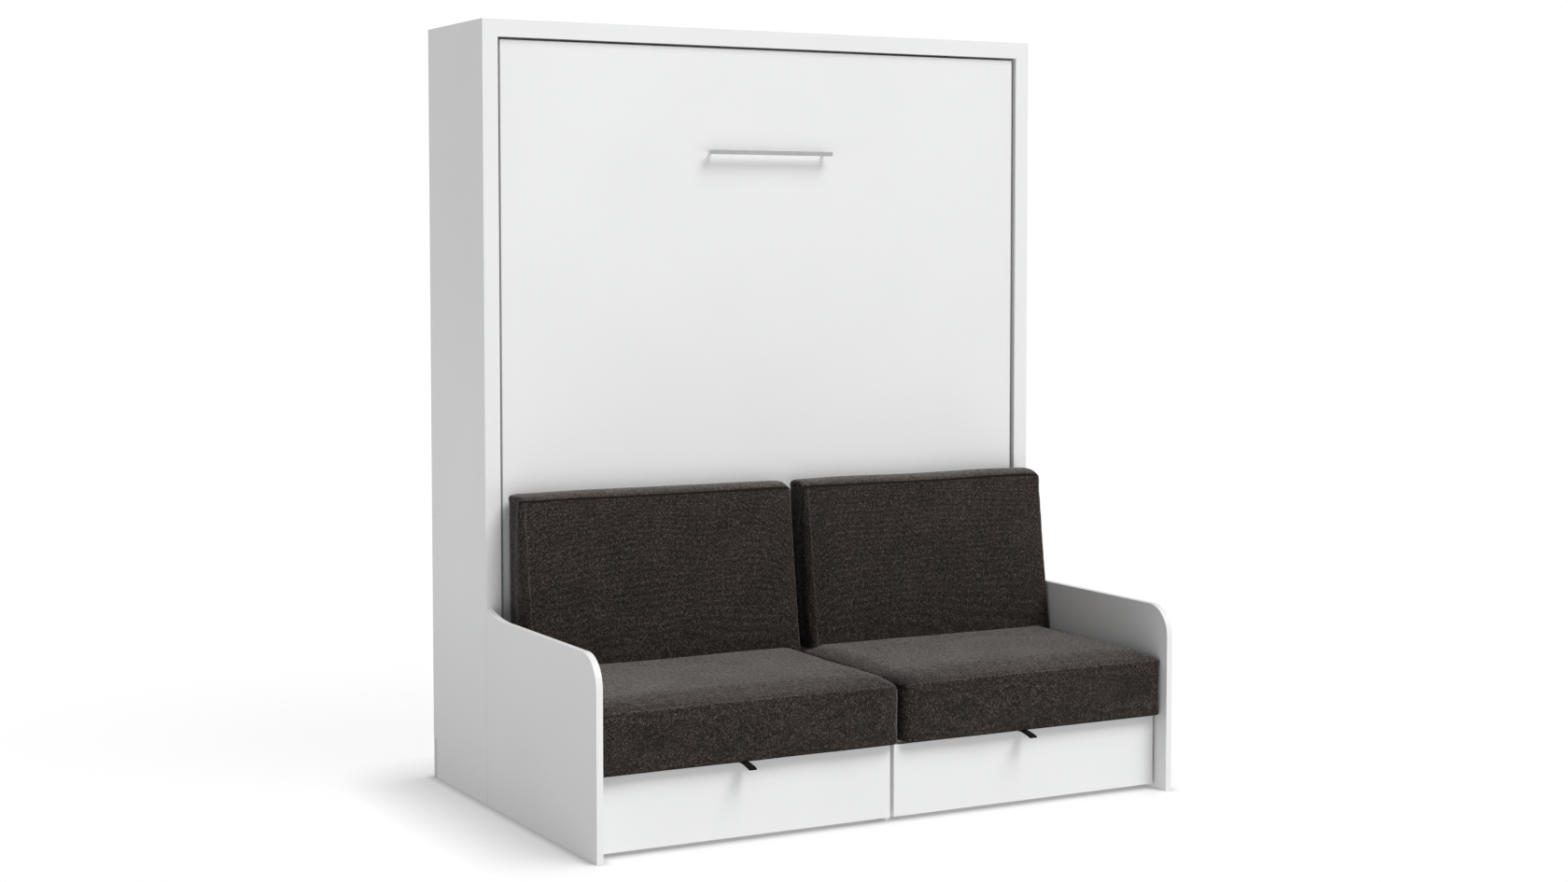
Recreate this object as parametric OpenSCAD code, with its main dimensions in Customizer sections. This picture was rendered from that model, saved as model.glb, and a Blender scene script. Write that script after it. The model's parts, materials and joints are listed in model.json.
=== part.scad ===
// Wall bed with a built-in sofa: a white cabinet, a bed that folds down out of it over the seat,
// two loose back cushions, two seat cushions and two wide drawers under the seat.
// Origin: on the floor, in the middle of the whole width and depth. +Y points to the wall.

/* [Cabinet] */
// Overall width over the side panels
cabinet_w = 1786; // [1780:2:1820]
// Overall height
cabinet_h = 2170; // [2170:10:2230]
// Cabinet depth from the front plane to the wall
cabinet_d = 425; // [425:5:450]
// Thickness of the side panels
side_t = 25; // [22:1:25]
// Width of the front stiles
stile_w = 45; // [40:1:46]
// Thickness of the stiles, the door and the drawer fronts
front_t = 19; // [18:0.5:19]
// Thickness of the top panel
top_t = 48; // [38:1:48]

/* [Sofa] */
// How far the arm panels reach forward of the cabinet
arm_reach = 745; // [735:5:760]
// Thickness of the arm panels
arm_t = 18; // [16:1:18]
// Height of the arm panels
arm_h = 527; // [515:1:540]
// Radius of the arms' upper front corner
arm_r = 85; // [40:5:110]
// Height of the top of the seat board
seat_z = 213; // [210:1:216]
// Thickness of the seat cushions
seat_cushion_t = 158; // [140:1:160]

/* [Bed] */
// Width of the mattress
mattress_w = 1600; // [1500:10:1600]
// Length of the mattress
mattress_l = 1900; // [1850:10:1900]
// Thickness of the mattress
mattress_t = 185; // [140:5:185]
// Number of slat rows
slat_rows = 14; // [8:1:15]

/* [Hidden] */
$fn = 48;

// Main planes
half_w = cabinet_w / 2;
tab_reach = 10;
total_d = cabinet_d + arm_reach + tab_reach;
back_y = total_d / 2;
front_y = back_y - cabinet_d;
arm_y = front_y - arm_reach;
inner_x = half_w - side_t;
arm_inner_x = half_w - arm_t;
top_z = cabinet_h - top_t;

// Cabinet details
skirting_d = 28;
skirting_h = 115;
rail_t = 18;
upper_rail_h = 150;
base_rail_h = 100;
wall_bolt_r = 4.5;
wall_bolt_pitch = 1200;
bracket_l = 40;
bracket_t = 3;
bracket_w = 30;
bracket_y = [front_y + 145, back_y - 60];
screw_r = 2;
screw_l = 14;
screw_head_r = 4;
screw_head_t = 2;

// Bed pivot and the planes measured from it: u runs up the closed bed, w runs to the wall
pivot_y = front_y + 74;
pivot_z = 460;
door_gap = 10;
door_x = half_w - stile_w - door_gap;
door_recess = 9;
door_y = front_y + door_recess;
door_bottom = 140;
door_top = top_z - 7;
frame_y = door_y + front_t;
mattress_y = pivot_y + 15;
mattress_z = 185;
rail_inner_x = mattress_w / 2 + 2;
rail_w = 20;
rail_x = rail_inner_x + rail_w;
tube_t = 2;
cross_h = 30;
cross_d = 40;
rail_z0 = door_bottom + 2;
rail_z1 = door_top - 7;
centre_x = 20;
slat_y = pivot_y + 1;
slat_t = 12;
slat_h = 53;
slat_end_x = rail_inner_x - 4;
slat_gap = 0.2;
holder_w = 26;
holder_wall = 2;
holder_y = slat_y - 2.5;
slat_z0 = rail_z0 + cross_h + 45;
slat_pitch = (mattress_z + mattress_l - 70 - slat_z0) / (slat_rows - 1);

// Pivot hardware
pin_r = 8;
running_gap = 0.06;
cabinet_plate_t = 4;
bed_plate_t = 10;
plate_h = 130;
plate_w = 60;
pin_end_x = rail_x + 1;
collar_r = 14;
collar_gap = 2;

// Gas struts
strut_x = half_w - 40;
strut_top = [front_y + 300, 1060];
stud_u = -200;
strut_drop = strut_top[1] - (pivot_z + stud_u);
strut_run = strut_top[0] - pivot_y;
strut_l = sqrt(strut_drop * strut_drop + strut_run * strut_run);
strut_angle = atan2(strut_run, strut_drop);
strut_r = 11;
strut_bore_r = 9.2;
strut_body_l = 500;
rod_r = 5;
piston_d = 270;
eye_r = 9;
eye_t = 12;
stud_r = 4;
stud_plate = 50;

// Folding legs
leg_u = 1600;
leg_w = -16;
leg_z = pivot_z + leg_u;
leg_y = pivot_y + leg_w;
axle_r = 10;
leg_bar_x = door_x + 2;
leg_bar_t = 6;
leg_bar_w = 40;
leg_l = pivot_z + leg_w - 1;
foot_h = 14;
foot_rim = 1;

// Handle
handle_x = -10;
handle_l = 402;
handle_h = 12;
handle_t = 10;
handle_z = 1812;
handle_off = 22;
post_inset = 16;
post_r = 5;

// Sofa details
drawer_gap = 6;
drawer_z0 = 11;
drawer_z1 = 207;
drawer_y = front_y - 690;
box_y = drawer_y + front_t;
board_t = 16;
joint_line_w = 1;
joint_line_d = 3;
divider_t = 16;
seat_back_y = front_y - 15;
runner_w = 13;
runner_z = 100;
runner_l = 450;
runner_y = box_y + 2;
member_h = [45, 38, 28];
member_t = 1.5;
box_l = 480;
box_t = 15;
box_z0 = 25;
box_h = 140;
bottom_t = 6;
tab_w = 24;
tab_t = 2;
tab_x = [-455, 416];

// Cushions
seat_front_y = front_y - 719;
seat_rear_y = front_y - 4;
seat_x = [[-871, 0], [24, 872]];
seat_r = 38;
cushion_lift = 4;
back_x = [[-836, 10], [44, 872]];
back_rear_y = front_y - 6;
back_z0 = seat_z + seat_cushion_t + cushion_lift;
back_z1 = 872;
back_d0 = 152;
back_d1 = 94;
back_r = 34;

// A box from its lowest to its highest corner
module box(a, b) {
    translate(a) cube(b - a);
}

// The same shape on the right, and mirrored on the left
module both_sides() {
    children();
    mirror([1, 0, 0]) children();
}

// A cylinder along +X that starts at x
module rod_x(x, y, z, r, l) {
    translate([x, y, z]) rotate([0, 90, 0]) cylinder(r = r, h = l);
}

// A rectangular tube along Z or X, open at its ends
module tube_z(a, b) {
    difference() {
        box(a, b);
        box(a + [tube_t, tube_t, -1], b + [-tube_t, -tube_t, 1]);
    }
}

module tube_x(a, b) {
    difference() {
        box(a, b);
        box(a + [-1, tube_t, tube_t], b + [1, -tube_t, -tube_t]);
    }
}

/* Cabinet */

module corner_screws(r, l) {
    for (y = bracket_y) {
        rod_x(inner_x - bracket_t, y, top_z - 26, r, l);
        translate([inner_x - 26, y, top_z - bracket_t]) cylinder(r = r, h = l);
    }
}

module side_panel() {
    difference() {
        box([inner_x, front_y + front_t, 0], [half_w, back_y, top_z]);
        box([inner_x - 1, back_y - skirting_d, -1], [half_w + 1, back_y + 1, skirting_h]);
        corner_screws(screw_r, screw_l);
    }
}

module side_panel_right() {
    color("white") side_panel();
}

module side_panel_left() {
    color("white") mirror([1, 0, 0]) side_panel();
}

module front_stile() {
    box([half_w - stile_w, front_y, 0], [half_w, front_y + front_t, cabinet_h]);
}

module front_stile_right() {
    color("white") front_stile();
}

module front_stile_left() {
    color("white") mirror([1, 0, 0]) front_stile();
}

module top_panel() {
    color("white") difference() {
        box([-half_w, front_y, top_z], [half_w, back_y, cabinet_h]);
        both_sides() box([half_w - stile_w, front_y - 1, top_z - 1],
                         [half_w + 1, front_y + front_t, cabinet_h + 1]);
        both_sides() corner_screws(screw_r, screw_l);
    }
}

module wall_rail(z0, z1) {
    difference() {
        box([-inner_x, back_y - rail_t, z0], [inner_x, back_y, z1]);
        both_sides() translate([wall_bolt_pitch / 2, back_y + 1, (z0 + z1) / 2])
            rotate([90, 0, 0]) cylinder(r = wall_bolt_r, h = rail_t + 2);
    }
}

module upper_rear_rail() {
    color("white") wall_rail(top_z - upper_rail_h, top_z);
}

module base_rear_rail() {
    color("white") box([-inner_x, back_y - skirting_d - rail_t, 0],
                       [inner_x, back_y - skirting_d, base_rail_h]);
}

module plinth_rail() {
    color("white") box([-inner_x, front_y + front_t, 0],
                       [inner_x, front_y + front_t + rail_t, base_rail_h]);
}

module skirting_fillers() {
    color("gainsboro") both_sides()
        box([inner_x, back_y - skirting_d, 0], [half_w - 1, back_y, skirting_h]);
}

module corner_brackets() {
    color("silver") both_sides() difference() {
        union() {
            for (y = bracket_y) {
                box([inner_x - bracket_t, y - bracket_w / 2, top_z - bracket_l],
                    [inner_x, y + bracket_w / 2, top_z]);
                box([inner_x - bracket_l, y - bracket_w / 2, top_z - bracket_t],
                    [inner_x - bracket_t, y + bracket_w / 2, top_z]);
            }
        }
        corner_screws(screw_r, screw_l);
    }
}

module bracket_screws() {
    color("dimgray") both_sides() {
        corner_screws(screw_r, screw_l);
        for (y = bracket_y) {
            rod_x(inner_x - bracket_t - screw_head_t, y, top_z - 26, screw_head_r, screw_head_t);
            translate([inner_x - 26, y, top_z - bracket_t - screw_head_t])
                cylinder(r = screw_head_r, h = screw_head_t);
        }
    }
}

module cabinet_pivot_plates() {
    plate_x = inner_x - cabinet_plate_t;
    collar_x = rail_x + bed_plate_t + collar_gap;
    color("dimgray") both_sides() {
        box([plate_x, pivot_y - 45, pivot_z - 80], [inner_x, pivot_y + 75, pivot_z + 80]);
        rod_x(collar_x, pivot_y, pivot_z, collar_r, plate_x - collar_x);
        rod_x(pin_end_x, pivot_y, pivot_z, pin_r, collar_x - pin_end_x);
    }
}

module cabinet_strut_brackets() {
    plate_x = inner_x - cabinet_plate_t;
    pin_x = strut_x - eye_t / 2 - 3;
    color("dimgray") both_sides() {
        box([plate_x, strut_top[0] - 30, strut_top[1] - 40],
            [inner_x, strut_top[0] + 30, strut_top[1] + 40]);
        rod_x(pin_x, strut_top[0], strut_top[1], stud_r, plate_x - pin_x);
        rod_x(pin_x - 2, strut_top[0], strut_top[1], stud_r + 3, 2);
    }
}

/* Sofa */

// Outline of an arm in Y and Z: a rounded upper front corner, and a sweep up to the cabinet
sweep_l = 140;
sweep_h = 22;
sweep_r = (sweep_l * sweep_l + sweep_h * sweep_h) / (2 * sweep_h);
sweep_steps = 14;
arm_outline = concat(
    [[front_y, 0], [arm_y, 0]],
    [for (a = [0:6:90]) [arm_y + arm_r - arm_r * cos(a), arm_h - arm_r + arm_r * sin(a)]],
    [for (i = [0:sweep_steps]) let (s = i * sweep_l / sweep_steps)
        [front_y - sweep_l + s, arm_h + sweep_r - sqrt(sweep_r * sweep_r - s * s)]]
);

module arm_panel() {
    translate([arm_inner_x, 0, 0]) rotate([90, 0, 90]) linear_extrude(arm_t) polygon(arm_outline);
}

// The shadow line along the butt joint between an arm and the cabinet
module joint_line() {
    box([half_w - joint_line_d, front_y - joint_line_w, -1], [half_w + 1, front_y + 1, cabinet_h]);
}

module arm_panel_right() {
    color("white") difference() {
        arm_panel();
        joint_line();
    }
}

module arm_panel_left() {
    color("white") difference() {
        translate([-half_w - arm_inner_x, 0, 0]) arm_panel();
        mirror([1, 0, 0]) joint_line();
    }
}

module centre_divider() {
    color("whitesmoke") box([-divider_t / 2, box_y + 2, 0],
                            [divider_t / 2, seat_back_y - rail_t, seat_z - board_t]);
}

module seat_board_right() {
    color("whitesmoke") box([0, box_y + 1, seat_z - board_t], [arm_inner_x, seat_back_y, seat_z]);
}

module seat_board_left() {
    color("whitesmoke") box([-arm_inner_x, box_y + 1, seat_z - board_t], [0, seat_back_y, seat_z]);
}

module seat_rear_rail() {
    color("whitesmoke") box([-arm_inner_x, seat_back_y - rail_t, 20],
                            [arm_inner_x, seat_back_y, seat_z - board_t]);
}

// One member of a drawer runner: a channel that opens to the side, level by level inside the next
module runner_member(level, x, shift = 0) {
    h = member_h[level];
    x0 = x + level * (member_t + 0.9);
    x1 = x + runner_w - (2 - level) * (member_t + 0.9);
    translate([0, runner_y + shift, runner_z - h / 2]) difference() {
        box([x0, 0, 0], [x1, runner_l, h]);
        if (level < 2) box([x0 + member_t, -1, member_t], [x1 + 1, runner_l + 1, h - member_t]);
        if (level == 2) box([x0 - 1, -1, member_t], [x1 - member_t, runner_l + 1, h - member_t]);
    }
}

// Both runners of the right-hand drawer: one on the divider, one on the arm panel
module runner_pair(level) {
    runner_member(level, divider_t / 2);
    translate([arm_inner_x + divider_t / 2, 0, 0]) mirror([1, 0, 0])
        runner_member(level, divider_t / 2);
}

module runner_outer_members() {
    color("silver") both_sides() runner_pair(0);
}

module runner_middle_right() {
    color("silver") runner_pair(1);
}

module runner_middle_left() {
    color("silver") mirror([1, 0, 0]) runner_pair(1);
}

module runner_inner_right() {
    color("silver") runner_pair(2);
}

module runner_inner_left() {
    color("silver") mirror([1, 0, 0]) runner_pair(2);
}

module drawer_front() {
    box([drawer_gap, drawer_y, drawer_z0], [arm_inner_x - drawer_gap, box_y, drawer_z1]);
}

module drawer_front_right() {
    color("white") drawer_front();
}

module drawer_front_left() {
    color("white") mirror([1, 0, 0]) drawer_front();
}

// Two sides and a back; the front closes the box
box_x0 = divider_t / 2 + runner_w;
box_x1 = arm_inner_x - runner_w;
module drawer_box() {
    z1 = box_z0 + box_h;
    box([box_x0, box_y, box_z0], [box_x0 + box_t, box_y + box_l, z1]);
    box([box_x1 - box_t, box_y, box_z0], [box_x1, box_y + box_l, z1]);
    box([box_x0 + box_t, box_y + box_l - box_t, box_z0], [box_x1 - box_t, box_y + box_l, z1]);
}

module drawer_box_right() {
    color("whitesmoke") drawer_box();
}

module drawer_box_left() {
    color("whitesmoke") mirror([1, 0, 0]) drawer_box();
}

module drawer_bottom() {
    box([box_x0 + box_t, box_y, box_z0 + 6],
        [box_x1 - box_t, box_y + box_l - box_t, box_z0 + 6 + bottom_t]);
}

module drawer_bottom_right() {
    color("whitesmoke") drawer_bottom();
}

module drawer_bottom_left() {
    color("whitesmoke") mirror([1, 0, 0]) drawer_bottom();
}

// A webbing tab that lies on the drawer front's top edge and sticks out past it
module pull_tab(x) {
    box([x - tab_w / 2, arm_y - tab_reach, drawer_z1],
        [x + tab_w / 2, box_y - 2, drawer_z1 + tab_t]);
}

module pull_tab_right() {
    color("black") pull_tab(tab_x[1]);
}

module pull_tab_left() {
    color("black") pull_tab(tab_x[0]);
}

// Seat cushion: a long section with a round front edge
module seat_cushion(x) {
    z1 = seat_z + seat_cushion_t;
    translate([x[0], 0, 0]) rotate([90, 0, 90]) linear_extrude(x[1] - x[0]) union() {
        translate([seat_front_y + seat_r, seat_z]) square([seat_rear_y - seat_front_y - seat_r,
                                                          seat_cushion_t]);
        translate([seat_front_y, seat_z + 8]) square([seat_r + 1, seat_cushion_t - seat_r - 8]);
        translate([seat_front_y + seat_r, z1 - seat_r]) circle(seat_r);
        translate([seat_front_y + 8, seat_z + 8]) circle(8);
        translate([seat_front_y + 8, seat_z]) square([seat_r, 9]);
    }
}

module seat_cushion_left() {
    color("dimgray") seat_cushion(seat_x[0]);
}

module seat_cushion_right() {
    color("dimgray") seat_cushion(seat_x[1]);
}

/* Bed */

module door_panel() {
    color("white") box([-door_x, door_y, door_bottom], [door_x, frame_y, door_top]);
}

module door_handle() {
    bar_y = door_y - handle_off - handle_t;
    color("silver") translate([handle_x, 0, 0]) {
        box([-handle_l / 2, bar_y, handle_z], [handle_l / 2, bar_y + handle_t, handle_z + handle_h]);
        both_sides() translate([handle_l / 2 - post_inset, door_y, handle_z + handle_h / 2])
            rotate([90, 0, 0]) cylinder(r = post_r, h = handle_off);
    }
}

module bed_side_rail() {
    difference() {
        tube_z([rail_inner_x, frame_y, rail_z0], [rail_x, mattress_y, rail_z1]);
        rod_x(rail_inner_x - 1, leg_y, leg_z, axle_r + running_gap, rail_w + 2);
    }
}

module bed_side_rail_right() {
    color("dimgray") bed_side_rail();
}

module bed_side_rail_left() {
    color("dimgray") mirror([1, 0, 0]) bed_side_rail();
}

module bed_head_rail() {
    color("dimgray") tube_x([-rail_inner_x, frame_y, rail_z0],
                            [rail_inner_x, frame_y + cross_d, rail_z0 + cross_h]);
}

module bed_foot_rail() {
    color("dimgray") tube_x([-rail_inner_x, frame_y, rail_z1 - cross_h],
                            [rail_inner_x, frame_y + cross_d, rail_z1]);
}

module bed_centre_rail() {
    color("dimgray") difference() {
        tube_z([-centre_x, holder_y - cross_d, rail_z0 + cross_h],
               [centre_x, holder_y, rail_z1 - cross_h]);
        rod_x(-centre_x - 1, leg_y, leg_z, axle_r + running_gap, 2 * centre_x + 2);
    }
}

// One slat of the right-hand row, grown by a gap all round
module slat(row, gap = 0) {
    z = slat_z0 + row * slat_pitch;
    box([4.5 - gap, slat_y - gap, z - gap], [slat_end_x + gap, slat_y + slat_t + gap, z + slat_h + gap]);
}

module slats() {
    color("burlywood") both_sides() for (row = [0:slat_rows - 1]) slat(row);
}

module slat_holders() {
    color("darkslategray") for (row = [0:slat_rows - 1]) {
        z0 = slat_z0 + row * slat_pitch - holder_wall;
        z1 = z0 + slat_h + 2 * holder_wall;
        difference() {
            box([-holder_w, holder_y, z0], [holder_w, mattress_y, z1]);
            both_sides() slat(row, slat_gap);
        }
        both_sides() difference() {
            box([rail_inner_x - holder_w, holder_y, z0], [rail_inner_x, mattress_y, z1]);
            slat(row, slat_gap);
        }
    }
}

module mattress_shape() {
    box([-mattress_w / 2, mattress_y, mattress_z],
        [mattress_w / 2, mattress_y + mattress_t, mattress_z + mattress_l]);
}

module mattress() {
    color("white") mattress_shape();
}

module mattress_straps() {
    strap_t = 1.5;
    strap_w = 40;
    color("dimgray") difference() {
        union() {
            for (u = [480, 1200]) box(
                [-mattress_w / 2 - strap_t, mattress_y, pivot_z + u],
                [mattress_w / 2 + strap_t, mattress_y + mattress_t + strap_t, pivot_z + u + strap_w]);
        }
        mattress_shape();
    }
}

module bed_pivot_plates() {
    color("silver") both_sides() difference() {
        box([rail_x, frame_y + 2, pivot_z - plate_h / 2],
            [rail_x + bed_plate_t, frame_y + plate_w, pivot_z + plate_h / 2]);
        rod_x(rail_x - 1, pivot_y, pivot_z, pin_r + running_gap, bed_plate_t + 2);
    }
}

module bed_strut_studs() {
    z = pivot_z + stud_u;
    plate_t = 4;
    stud_end = strut_x - eye_t / 2 - 3;
    color("silver") both_sides() {
        box([rail_x, pivot_y - stud_plate / 2 - 10, z - stud_plate / 2],
            [rail_x + plate_t, pivot_y + 12, z + stud_plate / 2]);
        rod_x(rail_x + plate_t, pivot_y, z, stud_r, stud_end - rail_x - plate_t);
    }
}

/* Folding legs */

module leg_axle() {
    color("silver") rod_x(-leg_bar_x, leg_y, leg_z, axle_r, 2 * leg_bar_x);
}

module leg_bars() {
    x1 = leg_bar_x + leg_bar_t;
    color("silver") both_sides() {
        box([leg_bar_x, leg_y - leg_bar_w / 2, leg_z - leg_l + foot_h],
            [x1, leg_y + leg_bar_w / 2, leg_z]);
        rod_x(leg_bar_x, leg_y, leg_z, leg_bar_w / 2, leg_bar_t);
    }
}

module leg_feet() {
    color("black") both_sides()
        box([leg_bar_x - foot_rim, leg_y - leg_bar_w / 2 - 3, leg_z - leg_l],
            [leg_bar_x + leg_bar_t + foot_rim, leg_y + leg_bar_w / 2 + 3, leg_z - leg_l + foot_h]);
}

/* Gas struts, drawn down from their upper eye and then tilted */

module on_strut() {
    translate([strut_x, strut_top[0], strut_top[1]]) rotate([-strut_angle, 0, 0]) children();
}

module strut_cylinder() {
    on_strut() {
        difference() {
            union() {
                rod_x(-eye_t / 2, 0, 0, eye_r, eye_t);
                translate([-eye_t / 2, -4, -26]) cube([eye_t, 8, 22]);
                translate([0, 0, -strut_body_l]) cylinder(r = strut_r, h = strut_body_l - 24);
            }
            rod_x(-eye_t, 0, 0, stud_r + running_gap, 2 * eye_t);
            translate([0, 0, -strut_body_l + 8]) cylinder(r = strut_bore_r, h = strut_body_l - 38);
            translate([0, 0, -strut_body_l - 1]) cylinder(r = rod_r + running_gap, h = 12);
        }
    }
}

module strut_cylinder_right() {
    color("black") strut_cylinder();
}

module strut_cylinder_left() {
    color("black") mirror([1, 0, 0]) strut_cylinder();
}

module strut_rod() {
    on_strut() difference() {
        union() {
            translate([0, 0, -strut_l + eye_r - 1]) cylinder(r = rod_r, h = strut_l - piston_d - eye_r + 1);
            translate([0, 0, -piston_d - 12]) cylinder(r = strut_bore_r - running_gap, h = 12);
            rod_x(-eye_t / 2, 0, -strut_l, eye_r, eye_t);
        }
        rod_x(-eye_t, 0, -strut_l, stud_r + running_gap, 2 * eye_t);
    }
}

module strut_rod_right() {
    color("silver") strut_rod();
}

module strut_rod_left() {
    color("silver") mirror([1, 0, 0]) strut_rod();
}

/* Back cushions: an upright section, deeper at the foot than at the top */

module back_cushion(x) {
    r = back_r;
    color("dimgray") translate([x[0], 0, 0]) rotate([90, 0, 90]) linear_extrude(x[1] - x[0])
        hull() {
            translate([back_rear_y - back_d0 + r, back_z0 + r]) circle(r, $fn = 32);
            translate([back_rear_y - back_d1 + r, back_z1 - r]) circle(r, $fn = 32);
            translate([back_rear_y - 12, back_z0 + 12]) circle(12, $fn = 32);
            translate([back_rear_y - 12, back_z1 - 12]) circle(12, $fn = 32);
        }
}

module back_cushion_left() {
    back_cushion(back_x[0]);
}

module back_cushion_right() {
    back_cushion(back_x[1]);
}

side_panel_left();
side_panel_right();
front_stile_left();
front_stile_right();
top_panel();
upper_rear_rail();
base_rear_rail();
plinth_rail();
skirting_fillers();
corner_brackets();
bracket_screws();
cabinet_pivot_plates();
cabinet_strut_brackets();
arm_panel_left();
arm_panel_right();
centre_divider();
seat_board_left();
seat_board_right();
seat_rear_rail();
runner_outer_members();
seat_cushion_left();
seat_cushion_right();
drawer_front_left();
drawer_box_left();
drawer_bottom_left();
pull_tab_left();
runner_inner_left();
runner_middle_left();
drawer_front_right();
drawer_box_right();
drawer_bottom_right();
pull_tab_right();
runner_inner_right();
runner_middle_right();
door_panel();
door_handle();
bed_side_rail_left();
bed_side_rail_right();
bed_head_rail();
bed_foot_rail();
bed_centre_rail();
slats();
slat_holders();
mattress();
mattress_straps();
bed_pivot_plates();
bed_strut_studs();
leg_axle();
leg_bars();
leg_feet();
strut_cylinder_left();
strut_rod_left();
strut_cylinder_right();
strut_rod_right();
back_cushion_left();
back_cushion_right();
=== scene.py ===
import json
import math

import bpy
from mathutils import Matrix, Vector, noise


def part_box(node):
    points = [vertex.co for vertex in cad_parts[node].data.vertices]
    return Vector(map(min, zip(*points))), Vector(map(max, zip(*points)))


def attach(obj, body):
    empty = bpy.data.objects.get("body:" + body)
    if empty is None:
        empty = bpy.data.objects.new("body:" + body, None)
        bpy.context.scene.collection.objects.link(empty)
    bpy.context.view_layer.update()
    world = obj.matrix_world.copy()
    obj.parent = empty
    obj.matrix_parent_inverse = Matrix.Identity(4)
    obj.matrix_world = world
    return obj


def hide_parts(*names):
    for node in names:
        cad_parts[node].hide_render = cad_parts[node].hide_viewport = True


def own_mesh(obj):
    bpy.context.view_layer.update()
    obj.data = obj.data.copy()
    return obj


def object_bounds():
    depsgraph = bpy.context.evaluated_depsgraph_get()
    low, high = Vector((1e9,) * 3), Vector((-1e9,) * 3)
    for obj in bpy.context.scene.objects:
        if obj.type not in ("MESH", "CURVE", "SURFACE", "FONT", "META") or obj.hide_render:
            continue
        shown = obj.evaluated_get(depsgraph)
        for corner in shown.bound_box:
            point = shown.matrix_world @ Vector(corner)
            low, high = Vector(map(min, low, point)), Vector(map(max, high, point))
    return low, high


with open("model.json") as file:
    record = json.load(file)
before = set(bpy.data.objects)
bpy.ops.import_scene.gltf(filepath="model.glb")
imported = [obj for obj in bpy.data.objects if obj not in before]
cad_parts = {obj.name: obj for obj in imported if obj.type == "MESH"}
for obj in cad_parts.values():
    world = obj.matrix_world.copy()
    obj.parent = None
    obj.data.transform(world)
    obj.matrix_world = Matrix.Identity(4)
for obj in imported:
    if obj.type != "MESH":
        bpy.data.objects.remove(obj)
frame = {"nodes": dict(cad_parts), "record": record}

# A wall bed with a built-in sofa, in metres: finishes for the CAD nodes, sewn pieces in place of
# the soft ones, and a white studio.

CAD_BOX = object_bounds()
MM = 0.001
NODES = frame["nodes"]


# ---------------------------------------------------------------- camera

def make_camera():
    """From the front left at eye height, tipped a little downwards."""
    low, high = CAD_BOX
    aside, away, eye_height = 2.461, 6.725, 1.556
    tilt, heading = math.radians(86.67), math.radians(-28.32)
    data = bpy.data.cameras.new("camera")
    data.sensor_width = 36
    data.lens = 56.2
    data.shift_y = -0.035
    camera = bpy.data.objects.new("camera", data)
    camera.location = (low.x - aside, high.y - away, eye_height)
    camera.rotation_euler = (tilt, 0, heading)
    bpy.context.collection.objects.link(camera)
    bpy.context.scene.camera = camera


make_camera()


# ---------------------------------------------------------------- material helpers

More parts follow.
